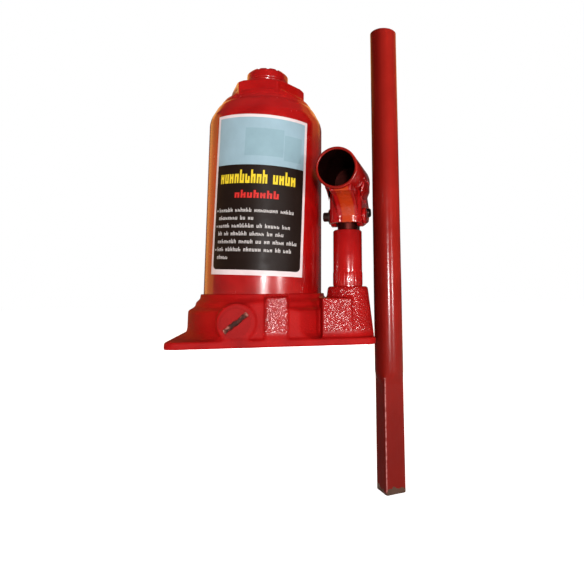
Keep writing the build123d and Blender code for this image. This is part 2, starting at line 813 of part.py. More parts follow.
with BuildPart() as handle_bar:
    # the second pass hollows out the first
    for shrink, mode in ((0, Mode.ADD), (bar_wall, Mode.SUBTRACT)):
        with BuildSketch(bar_plane.offset(square_top + bar_neck)):
            Circle(bar_radius - shrink)
        extrude(amount=bar_top - square_top - bar_neck, mode=mode)
        with BuildSketch(bar_plane.offset(square_top + bar_neck)):
            Circle(bar_radius - shrink)
        with BuildSketch(bar_plane.offset(square_top)):
            RectangleRounded(
                bar_square - 2 * shrink,
                bar_square - 2 * shrink,
                bar_corner - shrink / 2,
                rotation=bar_turn,
            )
        loft(mode=mode)
        with BuildSketch(bar_plane.offset(bar_foot)):
            RectangleRounded(
                bar_square - 2 * shrink,
                bar_square - 2 * shrink,
                bar_corner - shrink / 2,
                rotation=bar_turn,
            )
        extrude(amount=bar_square_length, mode=mode)
finish(handle_bar, "handle_bar")
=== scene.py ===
import json
import random
from math import asin, atan2, ceil, cos, pi, radians, sin, sqrt, tau

import bmesh
import bpy
from mathutils import Matrix, Vector, noise


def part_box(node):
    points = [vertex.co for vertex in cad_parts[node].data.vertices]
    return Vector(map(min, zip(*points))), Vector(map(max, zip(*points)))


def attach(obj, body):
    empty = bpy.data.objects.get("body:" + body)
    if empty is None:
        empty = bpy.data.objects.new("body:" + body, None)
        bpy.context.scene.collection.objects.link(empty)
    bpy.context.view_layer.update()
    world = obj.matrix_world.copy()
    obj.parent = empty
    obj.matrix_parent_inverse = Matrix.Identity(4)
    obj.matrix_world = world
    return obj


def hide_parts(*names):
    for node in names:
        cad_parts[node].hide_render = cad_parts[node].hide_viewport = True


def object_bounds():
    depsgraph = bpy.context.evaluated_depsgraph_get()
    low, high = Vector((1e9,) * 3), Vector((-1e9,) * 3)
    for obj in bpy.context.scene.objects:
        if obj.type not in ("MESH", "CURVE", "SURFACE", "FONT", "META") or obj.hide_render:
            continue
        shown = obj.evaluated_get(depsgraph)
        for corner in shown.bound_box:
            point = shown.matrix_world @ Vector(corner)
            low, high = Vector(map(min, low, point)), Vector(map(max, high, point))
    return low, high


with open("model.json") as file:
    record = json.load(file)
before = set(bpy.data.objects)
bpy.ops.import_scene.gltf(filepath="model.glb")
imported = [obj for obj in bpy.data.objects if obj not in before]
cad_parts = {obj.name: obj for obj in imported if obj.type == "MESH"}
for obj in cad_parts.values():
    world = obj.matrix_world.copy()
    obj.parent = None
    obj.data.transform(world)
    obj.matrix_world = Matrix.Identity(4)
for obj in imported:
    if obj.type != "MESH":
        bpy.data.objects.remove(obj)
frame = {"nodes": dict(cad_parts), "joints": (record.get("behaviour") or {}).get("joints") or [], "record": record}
cad_box = [list(corner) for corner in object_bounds()]

MM = 0.001
ON_AXIS = MM / 10000     # a lathe's point nearer to the axis than this closes the end
NOISE_OCTAVES = 2
rng = random.Random(7)
nodes = frame["nodes"]


# ---- frame ---------------------------------------------------------------------------------
def centre(node):
    """The middle of a CAD node's box."""
    low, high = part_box(node)
    return (low + high) / 2


def joint(name):
    return next(j for j in frame["joints"] if j["name"] == name)


def mount(name):
    return next(m for m in frame["record"]["mounts"] if m["name"] == name)


# ---- mesh helpers --------------------------------------------------------------------------
def add_object(name, mesh):
    piece = bpy.data.objects.new(name, mesh)
    bpy.context.scene.collection.objects.link(piece)
    return piece


def object_from(name, build, smooth_angle=35):
    """A new piece from a bmesh, with smooth faces and sharp edges above an angle."""
    mesh = bpy.data.meshes.new(name)
    bmesh.ops.recalc_face_normals(build, faces=build.faces)
    for face in build.faces:
        face.smooth = True
    limit = radians(smooth_angle)
    for edge in build.edges:
        if len(edge.link_faces) == 2 and edge.calc_face_angle(0) > limit:
            edge.smooth = False
    build.to_mesh(mesh)
    build.free()
    return add_object(name, mesh)


def apply_modifiers(piece):
    graph = bpy.context.evaluated_depsgraph_get()
    mesh = bpy.data.meshes.new_from_object(piece.evaluated_get(graph))
    piece.modifiers.clear()
    piece.data = mesh


def round_points(points, radius, steps=5):
    """An open outline of (r, z) points with its inner corners rounded."""
    out = [points[0]]
    for before, here, after in zip(points, points[1:], points[2:]):
        a, p, b = Vector(before), Vector(here), Vector(after)
        to_a, to_b = (a - p), (b - p)
        reach = min(radius, to_a.length * 0.45, to_b.length * 0.45)
        start = p + to_a.normalized() * reach
        end = p + to_b.normalized() * reach
        for i in range(steps + 1):
            t = i / steps
            out.append(tuple((1 - t) ** 2 * start + 2 * t * (1 - t) * p + t * t * end))
    out.append(points[-1])
    return out


def lathe(name, outline, origin, axis, segments):
    """Revolves an outline of (radius, distance along the axis) points; ends at radius 0 are closed."""
    turn = Vector((0, 0, 1)).rotation_difference(Vector(axis)).to_matrix()
    origin = Vector(origin)
    build = bmesh.new()
    rings = []
    for radius, height in outline:
        angles = [tau * k / segments for k in range(segments)] if radius > ON_AXIS else [0]
        points = [Vector((radius * cos(a), radius * sin(a), height)) for a in angles]
        rings.append([build.verts.new(origin + turn @ point) for point in points])
    for low, high in zip(rings, rings[1:]):
        for k in range(segments):
            n = (k + 1) % segments
            corners = [low[k % len(low)], low[n % len(low)], high[n % len(high)], high[k % len(high)]]
            unique = list(dict.fromkeys(corners))
            if len(unique) > 2:
                build.faces.new(unique)
    return object_from(name, build, 40)


def skin(build, rings, closed=False):
    """Joins each ring of vertices to the next; closed also joins the last ring to the first."""
    following = rings[1:] + (rings[:1] if closed else [])
    for a, b in zip(rings, following):
        for k in range(len(a)):
            n = (k + 1) % len(a)
            build.faces.new((a[k], a[n], b[n], b[k]))


def soft_copy(node, name, voxel, passes):
    """The CAD node's shape as an even mesh with its edges eased, as forging or casting leaves them."""
    piece = add_object(name, nodes[node].data.copy())
    piece.data.materials.clear()
    remesh = piece.modifiers.new("even", "REMESH")
    remesh.mode = "VOXEL"
    remesh.voxel_size = voxel
    apply_modifiers(piece)
    smooth = piece.modifiers.new("ease", "SMOOTH")
    smooth.factor = 0.5
    smooth.iterations = passes
    apply_modifiers(piece)
    for face in piece.data.polygons:
        face.use_smooth = True
    fit_to_box(piece, *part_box(node))
    return piece


def fit_to_box(piece, low, high):
    """Moves every vertex that is past a box back to its side."""
    for vertex in piece.data.vertices:
        for i in range(3):
            vertex.co[i] = min(max(vertex.co[i], low[i]), high[i])


def roughen(piece, depth, scale):
    """Sinks the surface by up to depth, with fractal noise of the given scale."""
    normals = [v.normal.copy() for v in piece.data.vertices]
    for vertex, normal in zip(piece.data.vertices, normals):
        value = noise.fractal(vertex.co / scale, 1.0, 2.0, NOISE_OCTAVES)
        vertex.co -= normal * depth * min(max(0.5 + 0.5 * value, 0), 1)
    piece.data.update()


def stand_for(piece, body, replaced):
    """Gives a piece its body and the CAD node that it replaces."""
    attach(piece, body)
    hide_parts(replaced)


# ---- node helpers for materials ------------------------------------------------------------
class Finish:
    """A procedural material, built node by node around one Principled shader."""

    def __init__(self, name, **uniform):
        self.material = bpy.data.materials.new(name)
        self.material.use_nodes = True
        self.tree = self.material.node_tree
        self.shader = self.tree.nodes["Principled BSDF"]
        self.place = self.tree.nodes.new("ShaderNodeTexCoord").outputs["Object"]
        for socket, value in uniform.items():
            self.shader.inputs[socket.replace("_", " ")].default_value = value

    def link(self, value, socket):
        if isinstance(value, bpy.types.NodeSocket):
            self.tree.links.new(value, socket)
        else:
            socket.default_value = value

    def noise(self, scale, detail=4, roughness=0.55, place=None):
        node = self.tree.nodes.new("ShaderNodeTexNoise")
        self.tree.links.new(place or self.place, node.inputs["Vector"])
        node.inputs["Scale"].default_value = scale
        node.inputs["Detail"].default_value = detail
        node.inputs["Roughness"].default_value = roughness
        return node.outputs["Fac"]

    def cells(self, scale):
        """Distance to the nearest of many scattered points."""
        node = self.tree.nodes.new("ShaderNodeTexVoronoi")
        self.tree.links.new(self.place, node.inputs["Vector"])
        node.inputs["Scale"].default_value = scale
        return node.outputs["Distance"]

    def stretched(self, x, y, z):
        node = self.tree.nodes.new("ShaderNodeMapping")
        node.inputs["Scale"].default_value = (x, y, z)
        self.tree.links.new(self.place, node.inputs["Vector"])
        return node.outputs["Vector"]

    def ramp(self, value, *stops):
        """A colour ramp; a stop is a position with a colour or a grey level."""
        node = self.tree.nodes.new("ShaderNodeValToRGB")
        elements = node.color_ramp.elements
        while len(elements) < len(stops):
            elements.new(0.5)
        for element, (position, colour) in zip(elements, stops):
            element.position = position
            grey = isinstance(colour, (int, float))
            element.color = (colour, colour, colour, 1) if grey else (*colour, 1)
        self.tree.links.new(value, node.inputs["Fac"])
        return node.outputs["Color"]

    def math(self, operation, a, b=0.0, c=None):
        node = self.tree.nodes.new("ShaderNodeMath")
        node.operation = operation
        self.link(a, node.inputs[0])
        self.link(b, node.inputs[1])
        if c is not None:
            self.link(c, node.inputs[2])
        return node.outputs["Value"]

    def grazing(self):
        """0 where a surface is seen head on, 1 along its outline."""
        return self.tree.nodes.new("ShaderNodeLayerWeight").outputs["Facing"]

    def mix(self, factor, a, b):
        node = self.tree.nodes.new("ShaderNodeMix")
        node.data_type = "RGBA"
        self.link(factor, node.inputs["Factor"])
        for value, socket in ((a, node.inputs["A"]), (b, node.inputs["B"])):
            self.link((*value, 1) if isinstance(value, tuple) else value, socket)
        return node.outputs["Result"]

    def axis(self, name):
        node = self.tree.nodes.new("ShaderNodeSeparateXYZ")
        self.tree.links.new(self.place, node.inputs["Vector"])
        return node.outputs[name]

    def along(self, direction, origin):
        """Distance from origin, measured along a direction."""
        node = self.tree.nodes.new("ShaderNodeVectorMath")
        node.operation = "DOT_PRODUCT"
        self.tree.links.new(self.place, node.inputs[0])
        node.inputs[1].default_value = direction
        return self.math("SUBTRACT", node.outputs["Value"], Vector(direction).dot(Vector(origin)))

    def facing(self, direction):
        """How squarely the surface faces a direction, from -1 to 1."""
        node = self.tree.nodes.new("ShaderNodeVectorMath")
        node.operation = "DOT_PRODUCT"
        geometry = self.tree.nodes.new("ShaderNodeNewGeometry")
        self.tree.links.new(geometry.outputs["Normal"], node.inputs[0])
        node.inputs[1].default_value = direction
        return node.outputs["Value"]

    def between(self, value, low, high, soft):
        """1 between two limits, falling to 0 over the soft margin."""
        middle, half = (low + high) / 2, (high - low) / 2
        off = self.math("ABSOLUTE", self.math("SUBTRACT", value, middle))
        reach = half + soft
        return self.ramp(self.math("DIVIDE", off, reach), (half / reach, 1.0), (1.0, 0.0))

    def set(self, **values):
        for socket, value in values.items():
            self.link(value, self.shader.inputs[socket.replace("_", " ")])

    def bump(self, height, distance, strength=1.0):
        node = self.tree.nodes.new("ShaderNodeBump")
        node.inputs["Strength"].default_value = strength
        node.inputs["Distance"].default_value = distance
        self.link(height, node.inputs["Height"])
        previous = self.shader.inputs["Normal"].links
        if previous:
            self.tree.links.new(previous[0].from_socket, node.inputs["Normal"])
        self.tree.links.new(node.outputs["Normal"], self.shader.inputs["Normal"])


def paint(piece, finish):
    piece.data.materials.clear()
    piece.data.materials.append(finish.material)


# ---- finishes ------------------------------------------------------------------------------
RED = (0.36, 0.003, 0.003)
DEEP_RED = (0.25, 0.002, 0.002)
BRIGHT_RED = (0.42, 0.006, 0.004)
# painted warm reflection on the bracket's flat front
REFLECTED_ORANGE = (0.44, 0.035, 0.004)
BAR_RED, BAR_DEEP_RED = (0.33, 0.014, 0.009), (0.27, 0.010, 0.006)
# painted shade for the bar's side towards the jack; the same darker red also darkens the bar towards its foot
SHADE_AND_FOOT_RED = (0.09, 0.003, 0.002)
# painted highlight along the bar's pressed square corners
HIGHLIGHT_PINK = (0.62, 0.24, 0.22)
BARE_TIP = (0.15, 0.085, 0.06)
SLOT_DARK, SLOT_BROWN, SLOT_BRIGHT = (0.035, 0.010, 0.007), (0.12, 0.03, 0.02), (0.36, 0.14, 0.11)

FOOT_TOP, CASTING_TOP = 7 * MM, 90 * MM         # sand grains show between these heights
RIB_LEFT, RIB_RIGHT = 1.0 * MM, 11.0 * MM
BOSS_LEFT, BOSS_RIGHT = 28 * MM, 90 * MM
SLOT_ANGLE = radians(38)
SLOT_REACH, SLOT_HALF_WIDTH, SLOT_RAGGED = 6.6 * MM, 4 * MM, 3.2 * MM
BAR_TURN = radians(14)
BAR_SQUARE, BAR_NECK = 50 * MM, 7 * MM
# the painted corner highlight runs up the first length; the tip is worn bare over the second
HIGHLIGHT_LENGTH, BARE_LENGTH, BARE_RAGGED = 54 * MM, 7 * MM, 10 * MM
FOOT_DARKENING_FADE = 130 * MM
PIN_PLACE = joint("lever_swing")["pos_m"]
LEVER_SIDE = tuple(-v for v in joint("lever_swing")["axis"])
LEVER_FORWARD = tuple(mount("handle_socket")["axis"])
BRUSHED = (1, 1, 30)


def enamel(name="red_enamel", grain=0.10):
    """Gloss red enamel on smooth steel, with a slight orange peel, calmer along its front's outline."""
    coat, specular, least_specular = 0.4, 0.5, 0.02
    f = Finish(name, Coat_Roughness=0.05)
    front = f.ramp(f.facing((0, -1, 0)), (0.4, 0.0), (0.55, 1.0))
    calm = f.math("MULTIPLY", front, f.ramp(f.grazing(), (0.5, 0.0), (0.7, 1.0)))
    f.set(
        Base_Color=f.ramp(f.noise(45, 3), (0.3, DEEP_RED), (0.5, RED), (0.75, BRIGHT_RED)),
        Roughness=f.ramp(f.noise(180, 4), (0.3, 0.16), (0.7, 0.28)),
        Coat_Weight=f.math("MULTIPLY_ADD", calm, -coat, coat),
        Specular_IOR_Level=f.math("MULTIPLY_ADD", calm, least_specular - specular, specular),
    )
    f.bump(f.noise(500, 2), 0.1 * MM, 2 * grain)
    f.bump(f.noise(90, 2), 0.3 * MM, grain)
    return f


def casting():
    """The same enamel over a rough sand casting: grains glint on the rib and the pump boss."""
    dull, glossy = 0.62, 0.20
    f = Finish("red_casting")
    upright = f.between(f.axis("Z"), FOOT_TOP, CASTING_TOP, 2 * MM)
    rib = f.between(f.axis("X"), RIB_LEFT, RIB_RIGHT, 1 * MM)
    boss = f.between(f.axis("X"), BOSS_LEFT, BOSS_RIGHT, 1 * MM)
    clean = f.math("MULTIPLY", upright, f.math("ADD", rib, boss))
    glint = f.math("MULTIPLY_ADD", rib, 0.3, 0.45)
    f.set(
        Base_Color=f.ramp(f.noise(60, 5), (0.3, DEEP_RED), (0.55, RED), (0.8, BRIGHT_RED)),
        Roughness=f.math("MULTIPLY_ADD", clean, glossy - dull, dull),
        Specular_IOR_Level=f.math("MULTIPLY_ADD", clean, glint, 0.12),
    )
    grain = f.math("ADD", f.noise(1150, 1, 0.5), f.math("MULTIPLY", f.cells(1250), 0.5))
    f.bump(f.math("MULTIPLY", grain, f.math("MULTIPLY_ADD", clean, 0.8, 0.2)), 0.45 * MM)
    return f


def bracket_enamel():
    """Red enamel, with a painted warm reflection in orange on the bracket's flat front."""
    f = Finish("bracket_enamel", Coat_Weight=0.25, Coat_Roughness=0.1)
    flat = f.math(
        "MULTIPLY",
        f.between(f.along(LEVER_SIDE, PIN_PLACE), -0.6 * MM, 5.2 * MM, 0.6 * MM),
        f.between(f.along(LEVER_FORWARD, PIN_PLACE), 7.2 * MM, 60 * MM, 0.5 * MM),
    )
    red = f.ramp(f.noise(45, 3), (0.3, DEEP_RED), (0.6, RED))
    f.set(
        Base_Color=f.mix(flat, red, REFLECTED_ORANGE),
        Roughness=f.ramp(f.noise(180, 4), (0.3, 0.18), (0.7, 0.3)),
    )
    f.bump(f.noise(500, 2), 0.1 * MM, 0.6)
    return f


def corner_highlight(f, foot):
    """1 on the painted highlight along the square part's corners, broken into beads, 0 elsewhere."""
    diagonals = [BAR_TURN + tau / 8, BAR_TURN - tau / 8]
    squarely = [f.math("ABSOLUTE", f.facing((cos(a), sin(a), 0))) for a in diagonals]
    corner = f.ramp(f.math("MAXIMUM", *squarely), (0.955, 0.0), (0.985, 1.0))
    below_neck = f.math("LESS_THAN", f.axis("Z"), foot + HIGHLIGHT_LENGTH)
    highlight_beads = f.ramp(f.noise(500, 3), (0.4, 0.25), (0.6, 0.9))
    return f.math("MULTIPLY", f.math("MULTIPLY", corner, below_neck), highlight_beads)


def bar_enamel():
    """Darker enamel on the bar, with painted shade on its side towards the jack, darker towards its foot, a
    painted highlight along its square corners, and its tip worn to metal.
    """
    f = Finish("bar_enamel")
    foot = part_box("handle_bar")[0].z
    ragged = f.math("ADD", f.axis("Z"), f.math("MULTIPLY", f.noise(260, 5), BARE_RAGGED))
    bare = f.math("LESS_THAN", ragged, foot + BARE_LENGTH)
    red = f.ramp(f.noise(50, 4), (0.3, BAR_DEEP_RED), (0.7, BAR_RED))
    # darker towards the bar's foot
    grip = f.ramp(f.math("MULTIPLY_ADD", f.axis("Z"), 1 / FOOT_DARKENING_FADE, 0.5), (0.15, 0.62), (0.8, 0.0))
    # painted shade: the bar's side that faces the jack turns darker and less glossy
    to_jack = f.math("MULTIPLY_ADD", f.facing((-1, 0, 0)), 0.5, 0.5)
    jack_side_shade = f.ramp(to_jack, (0.45, 0.0), (0.85, 0.8))
    red = f.mix(f.math("MAXIMUM", grip, jack_side_shade), red, SHADE_AND_FOOT_RED)
    f.set(
        Base_Color=f.mix(bare, f.mix(corner_highlight(f, foot), red, HIGHLIGHT_PINK), BARE_TIP),
        Metallic=f.math("MULTIPLY", bare, 0.6),
        Roughness=f.ramp(f.noise(220, 4), (0.3, 0.14), (0.7, 0.22)),
        Specular_IOR_Level=f.math("MULTIPLY_ADD", jack_side_shade, -0.25, 0.25),
    )
    f.bump(f.noise(700, 2), 0.08 * MM, 0.3)
    return f


def valve_enamel():
    """Dull enamel, worn through to oily metal along the screwdriver slot."""
    f = Finish("valve_enamel", Specular_IOR_Level=0.12, Roughness=0.62)
    middle = centre("release_valve")
    slot, across = (cos(SLOT_ANGLE), 0, sin(SLOT_ANGLE)), (sin(SLOT_ANGLE), 0, -cos(SLOT_ANGLE))
    off_slot = f.math("ABSOLUTE", f.along(across, middle))
    ragged = f.math("ADD", off_slot, f.math("MULTIPLY", f.noise(420, 4), SLOT_RAGGED))
    worn = f.ramp(f.math("DIVIDE", ragged, SLOT_HALF_WIDTH), (0.62, 1.0), (0.74, 0.0))
    to_tip = f.math("DIVIDE", f.math("ABSOLUTE", f.along(slot, middle)), SLOT_REACH)
    tips = f.math("MULTIPLY_ADD", to_tip, 0.24, f.noise(520, 3))
    metal = f.ramp(tips, (0.55, SLOT_DARK), (0.68, SLOT_BROWN), (0.82, SLOT_BRIGHT))
    f.set(Base_Color=f.mix(worn, f.ramp(f.noise(45, 3), (0.3, DEEP_RED), (0.6, RED)), metal))
    f.bump(f.noise(900, 3), 0.3 * MM, 0.4)
    return f


def steel(name, colour, roughness):
    """Metal with faint scratches across its height."""
    f = Finish(name, Metallic=1.0)
    scratch = f.noise(400, 4, place=f.stretched(*BRUSHED))
    dark = tuple(c * 0.75 for c in colour)
    f.set(
        Base_Color=f.ramp(scratch, (0.3, dark), (0.7, colour)),
        Roughness=f.ramp(f.noise(150, 4), (0.3, roughness * 0.8), (0.7, roughness * 1.25)),
    )
    f.bump(scratch, 0.05 * MM, 0.3)
    return f


def rubber():
    f = Finish("black_rubber", Roughness=0.6)
    f.set(Base_Color=f.ramp(f.noise(300, 4), (0.3, 0.012), (0.7, 0.03)))
    f.bump(f.noise(900, 3), 0.1 * MM, 0.4)
    return f


def urethane():
    f = Finish("pale_urethane", Roughness=0.4, Subsurface_Weight=0.2)
    f.set(Base_Color=f.ramp(f.noise(200, 3), (0.3, (0.55, 0.42, 0.18)), (0.7, (0.68, 0.55, 0.28))))
    return f


def ink(name, colour):
    """A printed colour on the label's film, slightly uneven."""
    f = Finish(name, Specular_IOR_Level=0.12)
    shade = tuple(c * 0.86 for c in colour)
    f.set(
        Base_Color=f.ramp(f.noise(90, 5), (0.3, shade), (0.7, colour)),
        Roughness=f.ramp(f.noise(260, 4), (0.3, 0.38), (0.7, 0.5)),
    )
    f.bump(f.noise(300, 2), 0.06 * MM, 0.15)
    return f


red_enamel = enamel()
socket_enamel = enamel("socket_enamel", 0.3)
red_casting = casting()
bar_paint = bar_enamel()
bracket_paint = bracket_enamel()
valve_paint = valve_enamel()
ground_steel = steel("ground_steel", (0.60, 0.60, 0.62), 0.22)
# oily steel with painted shade: a red near-black for the plunger under the bracket
oily_steel_in_shade = steel("oily_steel_in_shade", (0.07, 0.012, 0.01), 0.5)
dark_steel = steel("dark_steel", (0.07, 0.045, 0.04), 0.42)
bore_shade = steel("bore_shade", (0.03, 0.006, 0.005), 0.6)
spring_steel = steel("spring_steel", (0.42, 0.43, 0.46), 0.28)
copper = steel("copper", (0.75, 0.36, 0.20), 0.3)
brass = steel("brass", (0.74, 0.55, 0.22), 0.32)
black_rubber = rubber()
pale_urethane = urethane()

# ---- finishes of the CAD nodes that stay ---------------------------------------------------
CAD_FINISH = {
    "red_paint": red_enamel,
    "red_casting": red_casting,
    "handle_paint": bar_paint,
    "label_print": red_enamel,
    "bright_steel": ground_steel,
    "dark_steel": dark_steel,
    "valve_metal": valve_paint,
    "black_rubber": black_rubber,
    "pale_urethane": pale_urethane,
    "copper": copper,
    "brass_mesh": brass,
}
for part in frame["record"]["subparts"]:
    paint(nodes[part["node"]], CAD_FINISH[part["material_slot"]])
for spring in ("delivery_spring", "overload_spring"):
    paint(nodes[spring], spring_steel)
# the plunger is oily steel, darkened to a red near-black as painted shade under the bracket
paint(nodes["pump_plunger"], oily_steel_in_shade)
paint(nodes["tank_top_gasket"], red_enamel)     # painted over with the tank


# ---- reservoir -----------------------------------------------------------------------------
TANK_WALL, TANK_LIP, LIP_WIDTH = 1.8 * MM, 24.2 * MM, 5 * MM
SHOULDER_HEIGHT = 11.8 * MM


def make_reservoir():
    """The drawn tube: straight wall, rounded shoulder and a turned-in lip."""
    low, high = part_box("reservoir_tube")
    radius, top = high.x, high.z
    outline = [
        (radius - TANK_WALL, low.z),
        (radius, low.z),
        (radius, top - SHOULDER_HEIGHT),
        (radius - 0.7 * MM, top - 9.0 * MM),
        (radius - 3.7 * MM, top - 3.3 * MM),
        (TANK_LIP + 0.5 * MM, top - 1.8 * MM),
        (TANK_LIP, top),
        (TANK_LIP - LIP_WIDTH, top),
        (TANK_LIP - LIP_WIDTH, top - TANK_WALL),
        (radius - TANK_WALL, top - SHOULDER_HEIGHT - 0.2 * MM),
        (radius - TANK_WALL, low.z),
    ]
    tube = lathe("reservoir", round_points(outline, 1.2 * MM), (0, 0, 0), (0, 0, 1), 160)
    paint(tube, red_enamel)
    stand_for(tube, "jack_body", "reservoir_tube")


# ---- label ---------------------------------------------------------------------------------
LABEL_WIDTH, LABEL_HEIGHT = 49.3 * MM, 78.4 * MM
LABEL_BORDER, LABEL_FOOT_BORDER = 1.5 * MM, 2.4 * MM
LABEL_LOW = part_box("reservoir_label")[0]
LABEL_RADIUS = -LABEL_LOW.y
LABEL_LEAN, LABEL_RISE = radians(5.4), 2.0 * MM      # the label was stuck on slightly askew
FILM_DEPTH = 0.07                                   # of the film under the label's box, in mm
FILM, PANEL, SMALL_SHADE, SHADE, PRINT = 0.0, 0.02, 0.03, 0.04, 0.05     # lifts over the film, in mm
PANEL_SPLIT = 53.0 * MM
PANEL_CORNER = 2.4 * MM
TITLE_FOOT, TITLE_TOP = 43.8 * MM, 50.4 * MM
HEADING_FOOT, HEADING_TOP = 36.6 * MM, 40.4 * MM
PRINT_LEFT, PRINT_TOP, PRINT_SPACING, PRINT_HEIGHT = 4.4 * MM, 29.8 * MM, 3.75 * MM, 2.0 * MM
PRINT_ENDS = (44.5, 24.5, 44.0, 39.5, 45.5, 43.0, 12.5)     # where each line stops, in mm
DOTTED_LINES = (0, 2, 5)
LETTER_WIDTH, LETTER_PITCH = 0.52, 1.36     # of the print's height, and of a letter's width
LABEL_INKS = {
    "film": (0.80, 0.66, 0.66),
    "pale_panel": (0.31, 0.44, 0.505),
    "shade_panel": (0.262, 0.392, 0.445),
    "dark_panel": (0.014, 0.007, 0.005),
    "yellow": (0.80, 0.58, 0.03),
    "red": (0.62, 0.03, 0.025),
    "white": (0.56, 0.52, 0.50),
}


def label_point(u, v, radius):
    """The point on the tank of a place on the label (across, up)."""
    azimuth = asin(LABEL_LOW.x / LABEL_RADIUS) + u / LABEL_RADIUS + LABEL_LEAN * v / LABEL_HEIGHT
    height = LABEL_LOW.z + LABEL_RISE * (1 - u / LABEL_WIDTH) + v
    return Vector((radius * sin(azimuth), -radius * cos(azimuth), height))


def label_patch(build, u0, u1, v0, v1, lift, colour, corner=0.0):
    """A curved patch of one ink; its lower corners may be rounded."""
    radius = LABEL_RADIUS - (FILM_DEPTH - lift) * MM
    index = list(LABEL_INKS).index(colour)
    columns = max(2, int((u1 - u0) / MM) + 1)
    count = max(1, ceil((v1 - v0) / (3 * MM)))
    rows = [v0 + (v1 - v0) * i / count for i in range(count + 1)]
    if corner:
        rows = sorted(rows + [v0 + corner * (1 - cos(pi / 2 * i / 6)) for i in range(1, 6)])
    grid = []
    for v in rows:
        cut = corner - sqrt(corner**2 - max(corner - (v - v0), 0) ** 2)
        span = u1 - u0 - 2 * cut
        places = [u0 + cut + span * i / columns for i in range(columns + 1)]
        grid.append([build.verts.new(label_point(u, v, radius)) for u in places])
    for low_row, high_row in zip(grid, grid[1:]):
        for i in range(columns):
            face = build.faces.new((low_row[i], low_row[i + 1], high_row[i + 1], high_row[i]))
            face.material_index = index


def sign(build, u0, u1, v0, v1, colour, weight):
    """A made-up sign: two stems of uneven height and a bar; weight is a stem's share of the width."""
    stem, height = weight * (u1 - u0), v1 - v0
    tall = v0 + height * rng.choice((1, 0.68, 0.68))
    short = v0 + height * rng.choice((0.68, 0.5, 0.68))
    bar = rng.choice((v0, v0 + 0.3 * height, short - 0.2 * height))
    label_patch(build, u0, u0 + stem, v0, tall, PRINT, colour)
    label_patch(build, u1 - stem, u1, v0, short, PRINT, colour)
    label_patch(build, u0 + stem, u1 - stem, bar, bar + 0.2 * height, PRINT, colour)


def bold_line(build, u0, u1, v0, v1, colour, pitch):
    """Bold signs side by side from u0 to u1."""
    count = round((u1 - u0) / pitch)
    step = (u1 - u0) / count
    for i in range(count):
        sign(build, u0 + i * step, u0 + (i + 0.8) * step, v0, v1, colour, 0.4)


def text_line(build, u1, v):
    """Small print up to u1: made-up signs in groups like words."""
    letter = LETTER_WIDTH * PRINT_HEIGHT
    pitch = LETTER_PITCH * letter
    u = PRINT_LEFT
    while u < u1 - 2 * letter:
        letters = min(rng.randint(2, 8), int((u1 - u) / pitch))
        for i in range(letters):
            left = u + i * pitch
            sign(build, left, left + letter, v, v + PRINT_HEIGHT, "white", 0.36)
        u += (letters + 0.8) * pitch


def make_label():
    """A printed film: a pale picture panel over a dark panel with signs in place of words."""
    build = bmesh.new()
    top, inner = LABEL_HEIGHT - LABEL_BORDER, LABEL_WIDTH - LABEL_BORDER
    label_patch(build, 0, LABEL_WIDTH, 0, LABEL_HEIGHT, FILM, "film")
    label_patch(build, LABEL_BORDER, inner, PANEL_SPLIT, top, PANEL, "pale_panel")
    dark = (LABEL_BORDER, inner, LABEL_FOOT_BORDER, PANEL_SPLIT)
    label_patch(build, *dark, PANEL, "dark_panel", PANEL_CORNER)
    large = (17 * MM, 36 * MM, PANEL_SPLIT + 4.5 * MM, top - 5.5 * MM)
    label_patch(build, *large, SHADE, "shade_panel")
    small = (36.4 * MM, 46 * MM, PANEL_SPLIT + 3 * MM, top - 8 * MM)
    label_patch(build, *small, SMALL_SHADE, "shade_panel")
    bold_line(build, 4.2 * MM, 29.4 * MM, TITLE_FOOT, TITLE_TOP, "yellow", 2.8 * MM)
    bold_line(build, 31.6 * MM, 43.6 * MM, TITLE_FOOT, TITLE_TOP, "yellow", 3.0 * MM)
    bold_line(build, 13.2 * MM, 35.4 * MM, HEADING_FOOT, HEADING_TOP, "red", 3.2 * MM)
    for line, end in enumerate(PRINT_ENDS):
        foot = PRINT_TOP - line * PRINT_SPACING
        text_line(build, end * MM, foot)
        if line in DOTTED_LINES:
            dot = foot + 0.3 * MM
            label_patch(build, 2.7 * MM, 3.5 * MM, dot, dot + 0.8 * MM, PRINT, "white")
    label = object_from("label", build)
    for name, colour in LABEL_INKS.items():
        label.data.materials.append(ink("label_" + name, colour).material)
    stand_for(label, "jack_body", "reservoir_label")


# ---- castings and forgings -----------------------------------------------------------------
VALVE_WEAR = 1.1 * MM


def paint_run(piece, place, width, height):
    """A drip of thick enamel down the bracket's front, swollen here and there."""
    pin, side, forward = Vector(PIN_PLACE), Vector(LEVER_SIDE), Vector(LEVER_FORWARD)
    normals = [v.normal.copy() for v in piece.data.vertices]
    for vertex, normal in zip(piece.data.vertices, normals):
        off = (vertex.co - pin).dot(side) - place
        if abs(off) < width and normal.dot(forward) > 0.3:
            swell = 0.6 + 0.8 * noise.noise(Vector((0, 0, vertex.co.z / (2.2 * MM))))
            vertex.co += normal * height * swell * (1 - (off / width) ** 2)
    piece.data.update()


def make_castings():
    """The foot, the nut and the saddle: their CAD nodes with eased, uneven surfaces."""
    base = soft_copy("base_casting", "foot_casting", 0.6 * MM, 9)
    roughen(base, 0.12 * MM, 7 * MM)
    fit_to_box(base, *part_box("base_casting"))
    paint(base, red_casting)
    stand_for(base, "jack_body", "base_casting")

    nut = soft_copy("top_nut", "cap_nut", 0.4 * MM, 5)
    roughen(nut, 0.15 * MM, 6 * MM)
    paint(nut, red_enamel)
    stand_for(nut, "jack_body", "top_nut")

    pad = soft_copy("saddle", "saddle_pad", 0.3 * MM, 3)
    roughen(pad, 0.2 * MM, 4 * MM)
    paint(pad, red_enamel)
    stand_for(pad, "saddle", "saddle")


